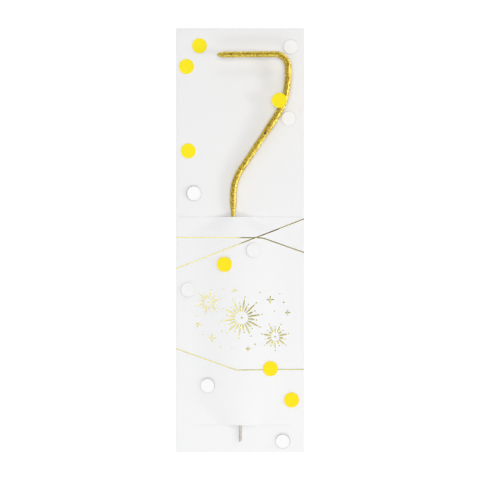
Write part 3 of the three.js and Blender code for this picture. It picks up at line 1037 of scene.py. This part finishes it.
def coating_material(finish):
    """Gold lacquer on baked sparkler grains: bright on the grains, a painted shade of dark brown in the
    hollows between them, burnt in specks.
    """
    made, tree = new_material("gold_lacquer")
    place = own_place(tree)
    burnt = point_mask(tree, "burnt")
    low = point_mask(tree, "hollow")
    grit = noise(tree, place, 0.22 * MM, 3, 0.6)
    dust = noise(tree, place, 0.8 * MM, 2)
    # Painted shade: the hollows between the grains are darkened, mixed with a random grain pattern
    depth = in_order(tree, node(tree, "Math", operation="MULTIPLY_ADD"), low, 0.55, grit)
    hollow = map_range(tree, depth, 0.54, 0.94)
    lacquer = colour_mix(tree, hollow, finish.gold, finish.gold_deep)
    return shaded(
        made,
        Base_Color=colour_mix(tree, burnt, lacquer, finish.speck),
        Metallic=map_range(tree, burnt, 0, 1, 0.94, 0.05),
        Roughness=map_range(tree, dust, 0.3, 0.7, 0.42, 0.54),
        Coat_Weight=map_range(tree, hollow, 0, 1, 0.95, 0.3),
        Coat_Roughness=0.22,
        Coat_IOR=2.0,
        Normal=bump(tree, grit, 0.7, 0.05 * MM),
    )


def floor_material(glow):
    """White floor: it keeps the object's shadow, and rays that only look at it see a little more light."""
    made, tree = new_material("studio_floor")
    tooth = noise(tree, own_place(tree), 4 * MM, 3)
    paint = node(tree, "BsdfDiffuse", Color=colour_mix(tree, tooth, [0.955] * 3, [0.965] * 3))
    rays = node(tree, "LightPath").outputs
    looking = (rays[f"Is {kind} Ray"] for kind in ("Camera", "Glossy", "Transmission"))
    strength = combine(tree, "MULTIPLY", combine(tree, "MAXIMUM", *looking), glow)
    light = node(tree, "Emission", Strength=strength)
    both = in_order(tree, node(tree, "AddShader"), paint.outputs[0], light.outputs[0])
    node(tree, "OutputMaterial", Surface=both)
    arrange(tree)
    return made


# Direction and elevation in degrees, distance, width and height in metres, and share of the card's light
KEY_LAMP = "right_softbox"
LAMPS = {
    KEY_LAMP: (355, 31, 0.9, 0.15, 0.19, 0.065),
    "overhead_softbox": (90, 90, 1.2, 0.5, 0.5, 0.31),
    "top_softbox": (90, 40, 0.9, 0.3, 0.17, 0.03),
    "low_softbox": (270, 50, 0.42, 0.3, 0.12, 0.1),
}


def add_lamp(name):
    """A flat lamp aimed at the card's middle. Its power lights a flat white surface there by its share.

    The power is share 4 pi distance^2 / sin(elevation), in watts. Metal mirrors the key lamp and the
    studio's walls and ceiling, and not the other lamps.
    """
    towards, elevation, distance, width, height, part = LAMPS[name]
    turn = math.radians(towards)
    rise = math.radians(elevation)
    data = bpy.data.lights.new(name, "AREA")
    data.shape = "RECTANGLE"
    data.size = width
    data.size_y = height
    data.energy = part * 4 * math.pi * distance**2 / math.sin(rise)
    lamp = put_in_scene(name, data)
    back = Vector((math.cos(turn) * math.cos(rise), math.sin(turn) * math.cos(rise), math.sin(rise)))
    lamp.location = back * distance
    lamp.rotation_euler = back.to_track_quat("Z", "Y").to_euler()
    lamp.visible_glossy = name == KEY_LAMP


# Soft edges over the direction that metal mirrors: the axis, where a mask is 0 and where it is 1
STUDIO_EDGES = {
    "overhead": ("Y", -0.11, 0.01),
    "beside": ("Z", 0.9, 0.72),
    "rightward": ("X", 0.45, 0.8),
    "left_wall": ("X", -0.45, -0.8),
    "near_left": ("Y", 0.5, 0.22),
    "near_middle": ("Y", 0.8, 0.56),
    "middle": ("X", -0.4, -0.12),
    "beyond": ("Y", 0.03, 0.14),
    "leftward": ("X", 0.7, 0.3),
    "patch_left": ("X", -0.015, 0.02),
    "patch_right": ("X", 0.56, 0.42),
    "patch_low": ("Y", -0.052, -0.02),
}


def studio_walls(studio):
    """World light: an even fill for matte surfaces and, for metal, bright walls and a partly dark ceiling.

    A dark band lies past the card's upper end and a dark patch right of the middle. Both end at the
    near wall, which starts sooner on the left. The left wall is dim. The camera sees white.
    """
    world = bpy.data.worlds.new("studio")
    tree = empty_tree(world)
    parts = node(tree, "SeparateXYZ", Vector=node(tree, "TexCoord").outputs["Generated"]).outputs
    edge = {}
    for name, (axis, start, end) in STUDIO_EDGES.items():
        edge[name] = map_range(tree, parts[axis], start, end, curve="SMOOTHSTEP")
    near_middle = combine(tree, "MULTIPLY", edge["near_middle"], edge["middle"])
    near_wall = combine(tree, "MAXIMUM", edge["near_left"], near_middle)
    band = combine(tree, "MULTIPLY", edge["beyond"], near_wall, edge["leftward"])
    patch_sides = edge["patch_left"], edge["patch_right"], edge["patch_low"]
    patch = combine(tree, "MULTIPLY", *patch_sides, near_wall)
    dim_wall = map_range(tree, edge["left_wall"], 0, 1, 0, 0.5)
    dark = combine(tree, "MAXIMUM", band, patch, dim_wall)
    lit = colour_mix(tree, edge["overhead"], [studio.ceiling_foot] * 3, [studio.ceiling] * 3)
    lit = colour_mix(tree, edge["beside"], lit, [studio.walls] * 3)
    lit = colour_mix(tree, edge["rightward"], lit, [studio.window] * 3)
    mirrored = colour_mix(tree, dark, lit, studio.shade)
    rays = node(tree, "LightPath").outputs
    level = colour_mix(tree, rays["Is Glossy Ray"], [studio.fill] * 3, mirrored)
    shown = colour_mix(tree, rays["Is Camera Ray"], level, [1.0] * 3)
    light = node(tree, "Background", Color=shown)
    node(tree, "OutputWorld", Surface=light.outputs[0])
    arrange(tree)
    bpy.context.scene.world = world


class NUMBERCANDLE_OT_stage(Operator):
    """Build the floor, the lamps, the studio walls and the camera above the card"""

    bl_idname = "numbercandle.stage"
    bl_label = "Stage"

    def execute(self, context):
        studio = context.scene.number_candle.studio
        reach = np.linspace(-FLOOR_REACH, FLOOR_REACH, FLOOR_POINTS)
        across, up = np.meshgrid(reach, reach)
        points = np.stack([across, up, np.full(across.shape, -FLOOR_DROP)], axis=-1)
        mesh = grid_mesh("studio_floor", points)
        mesh.materials.append(floor_material(studio.floor_glow))
        put_in_scene("studio_floor", mesh)
        for name in LAMPS:
            add_lamp(name)
        studio_walls(studio)
        data = bpy.data.cameras.new("camera")
        data.sensor_width = 36
        data.lens = studio.lens
        camera = put_in_scene("camera", data)
        camera.location = (studio.camera_side, studio.camera_up, studio.camera_height)
        context.scene.camera = camera
        context.scene.view_settings.view_transform = "Standard"
        return {"FINISHED"}


class NUMBERCANDLE_OT_card(Operator):
    """Fold the white card from one sheet, with its pocket, its slit and its glue lines"""

    bl_idname = "numbercandle.card"
    bl_label = "Folded Card"

    def execute(self, context):
        own = context.scene.number_candle
        card = Card(own.card)
        face, core = board_materials(own.finish)
        piece = add_piece(folded_sheet(card), CARD, "card_board", face, core)
        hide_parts("back_panel", "pocket_panel")
        wall = piece.modifiers.new("board", "SOLIDIFY")
        wall.thickness = card.board
        wall.offset = 0
        wall.material_offset_rim = 1
        soft = piece.modifiers.new("cut_edges", "BEVEL")
        soft.width = own.card.edge_rounding
        soft.segments = 3
        # The rounded cut edges take the brighter core, which is partly a painted highlight
        soft.material = 1
        soft.limit_method = "ANGLE"
        soft.angle_limit = SHARP_EDGE
        glue = glue_material(own.finish)
        for side in ("left", "right"):
            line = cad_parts["glue_line_" + side]
            for place in line.material_slots:
                place.material = glue
        return {"FINISHED"}


class NUMBERCANDLE_OT_foil_lines(Operator):
    """Stamp the three foil lines across the pocket"""

    bl_idname = "numbercandle.foil_lines"
    bl_label = "Foil Lines"

    def execute(self, context):
        own = context.scene.number_candle
        card = Card(own.card)
        foil = foil_material(own.finish)
        for name, tube in foil_lines(card, own.foil).items():
            add_piece(tube_mesh("foil_line_" + name, tube), CARD, "gold_foil", foil)
        return {"FINISHED"}


class NUMBERCANDLE_OT_foil_ornament(Operator):
    """Stamp the foil starbursts, stars and dots on the pocket"""

    bl_idname = "numbercandle.foil_ornament"
    bl_label = "Foil Ornament"

    def execute(self, context):
        own = context.scene.number_candle
        tubes = ornament_tubes(Card(own.card), own.foil)
        add_piece(tube_mesh("foil_ornament", tubes), CARD, "gold_foil", foil_material(own.finish))
        return {"FINISHED"}


class NUMBERCANDLE_OT_wire(Operator):
    """Draw the bare steel wire from its cut tail up into the coating"""

    bl_idname = "numbercandle.wire"
    bl_label = "Core Wire"

    def execute(self, context):
        own = context.scene.number_candle
        rings = wire_tube(Card(own.card), own.wire, own.coating)
        mesh = tube_mesh("steel_wire", rings[None])
        piece = add_piece(mesh, CANDLE, "steel_wire", steel_material(own.finish))
        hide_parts("core_wire")
        return {"FINISHED"}


class NUMBERCANDLE_OT_coating(Operator):
    """Dip the figure in its rough gold sparkler coating"""

    bl_idname = "numbercandle.coating"
    bl_label = "Sparkler Coating"

    def execute(self, context):
        own = context.scene.number_candle
        rings, low = coating_tube(Card(own.card), own.wire, own.coating)
        if rings[..., 2].max() > solid_high.z + 0.01 * MM:
            raise RuntimeError("the coating stands out of the packed part's box")
        mesh = tube_mesh("gold_coating", rings[None])
        # How low each point lies, which sets the painted shade in the hollows
        hollow = np.clip(0.5 + low / (4 * own.coating.grain_height), 0, 1)
        point_values(mesh, "hollow", hollow)
        point_values(mesh, "burnt", dark_specks(rings.reshape(-1, 3)))
        piece = add_piece(mesh, CANDLE, "gold_composition", coating_material(own.finish))
        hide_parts("sparkler_coating")
        return {"FINISHED"}


class NUMBERCANDLE_OT_confetti(Operator):
    """Punch the yellow and white paper discs and lay each one where its solid lies"""

    bl_idname = "numbercandle.confetti"
    bl_label = "Confetti"

    def execute(self, context):
        own = context.scene.number_candle
        finish = own.finish
        # The third colour is painted shade for white discs, a shadow line along the rim and darker all over
        # on some, and a deeper yellow for yellow discs
        papers = {
            "yellow": (finish.yellow, finish.yellow_fibre, finish.yellow_deep),
            "white": (finish.white, finish.white_fibre, finish.bruise),
        }
        materials = {}
        for key, (plain, fibre, bruise) in papers.items():
            look = {"width": 0.2 * MM, "roughness": 0.6, "relief": 0.35, "bruise": bruise}
            materials[key] = paper(f"punched_{key}_paper", plain, fibre, **look)
        missing = sorted(set(CONFETTI_NODES) ^ set(DISC_LIES))
        if missing:
            raise RuntimeError(f"no solid or no lie for {missing}")
        for name in CONFETTI_NODES:
            colour = name.split("_")[1]
            rings, bruised = disc_tube(name, own.confetti)
            mesh = tube_mesh(name.replace("confetti", "paper_disc"), rings[None])
            point_values(mesh, "bruised", bruised)
            piece = add_piece(mesh, name, colour + "_paper", materials[colour])
            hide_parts(name)
        return {"FINISHED"}


class NUMBERCANDLE_PT_panel(Panel):
    """Lists the pieces of the number candle in the order in which they are built"""

    bl_idname = "NUMBERCANDLE_PT_panel"
    bl_label = "Number Candle"
    bl_space_type = "VIEW_3D"
    bl_region_type = "UI"
    bl_category = "Number Candle"

    def draw(self, context):
        for operator in OPERATORS:
            self.layout.operator(operator.bl_idname)
        for key, group in GROUPS.items():
            box = self.layout.box()
            for name in group.__annotations__:
                box.prop(getattr(context.scene.number_candle, key), name)


OPERATORS = (
    NUMBERCANDLE_OT_stage,
    NUMBERCANDLE_OT_card,
    NUMBERCANDLE_OT_foil_lines,
    NUMBERCANDLE_OT_foil_ornament,
    NUMBERCANDLE_OT_wire,
    NUMBERCANDLE_OT_coating,
    NUMBERCANDLE_OT_confetti,
)

CLASSES = (*GROUPS.values(), NUMBERCANDLE_PG_all, *OPERATORS, NUMBERCANDLE_PT_panel)


def register():
    for made in CLASSES:
        bpy.utils.register_class(made)
    bpy.types.Scene.number_candle = PointerProperty(type=NUMBERCANDLE_PG_all, name="Number candle")


def unregister():
    del bpy.types.Scene.number_candle
    for made in reversed(CLASSES):
        bpy.utils.unregister_class(made)


def main():
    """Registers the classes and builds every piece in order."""
    register()
    bpy.ops.numbercandle.stage()
    bpy.ops.numbercandle.card()
    bpy.ops.numbercandle.foil_lines()
    bpy.ops.numbercandle.foil_ornament()
    bpy.ops.numbercandle.wire()
    bpy.ops.numbercandle.coating()
    bpy.ops.numbercandle.confetti()


if __name__ == "__main__":
    main()
